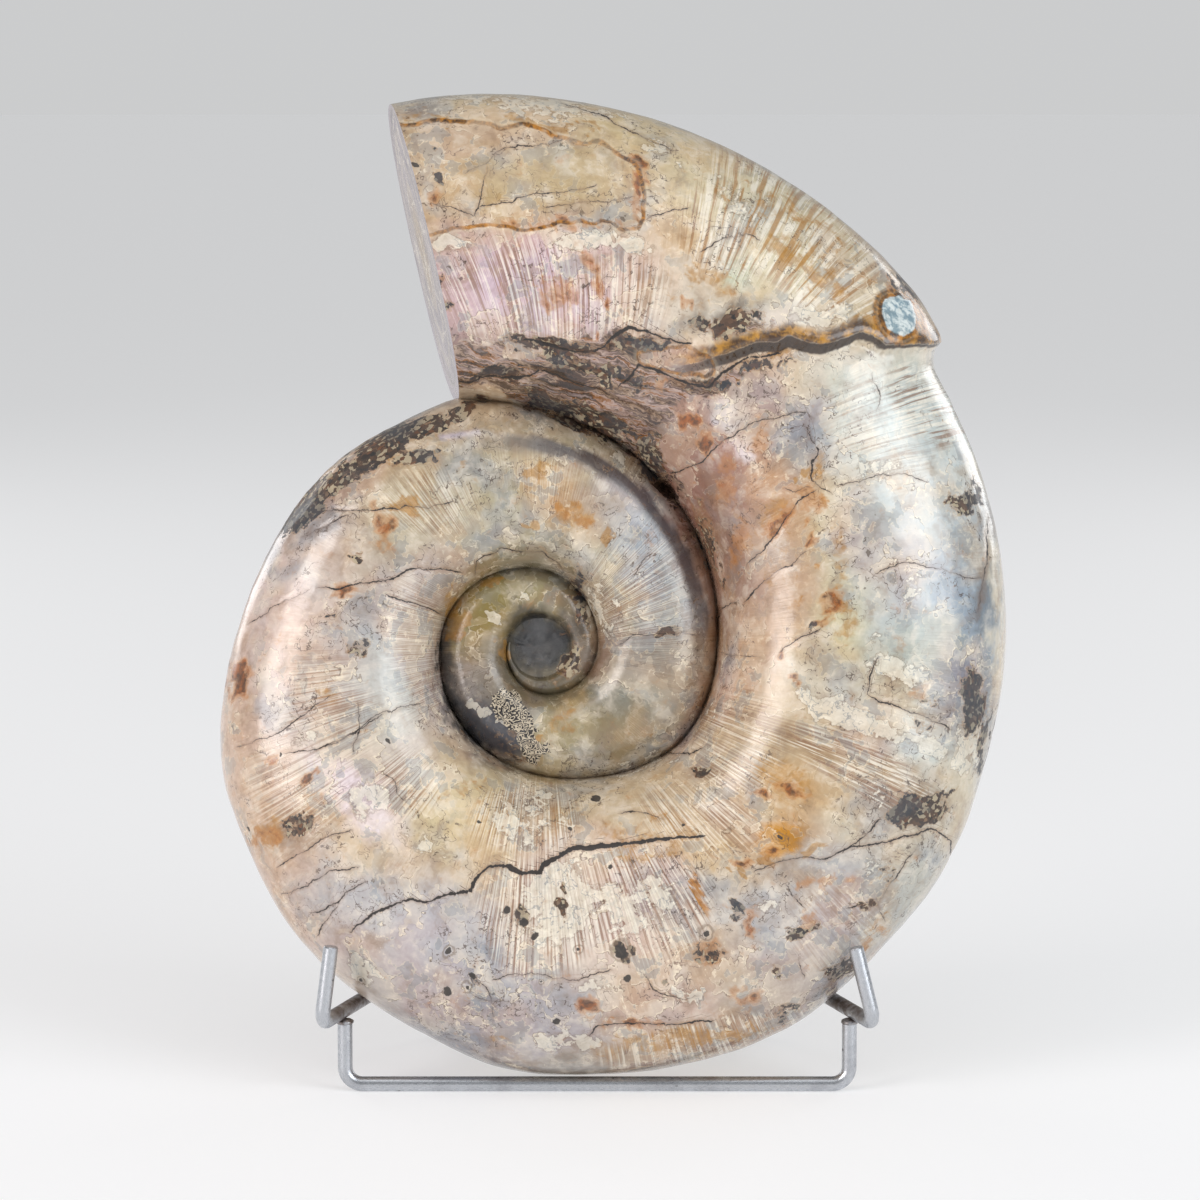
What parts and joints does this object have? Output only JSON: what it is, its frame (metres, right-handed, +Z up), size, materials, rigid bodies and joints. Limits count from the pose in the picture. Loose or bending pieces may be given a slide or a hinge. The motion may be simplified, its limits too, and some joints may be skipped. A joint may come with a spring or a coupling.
{
  "type": "lytoceras ammonite",
  "caption": "Polished coiled fossil shell, sawn flat at its aperture, leaning back on a bent steel rod display stand.",
  "frame": {"origin": "on the floor, under the middle of the whole object's box", "axes": "+Z up, the ammonite's shown face looks along -Y, +X to the viewer's right"},
  "size_m": [0.3138, 0.1382, 0.3934],
  "materials": {
    "fossil_shell": "polished nacre and calcite, cream, blue-grey and lilac, with fine radial lines, rust stains, dark cracks and pits",
    "steel_rod": "plain drawn round rod, bright grey, with small dark nicks"
  },
  "bodies": {
    "root": {"ammonite": "fossil_shell", "cradle_rod": "steel_rod", "front_foot_loop": "steel_rod", "rear_foot_loop": "steel_rod"}
  },
  "joints": []
}
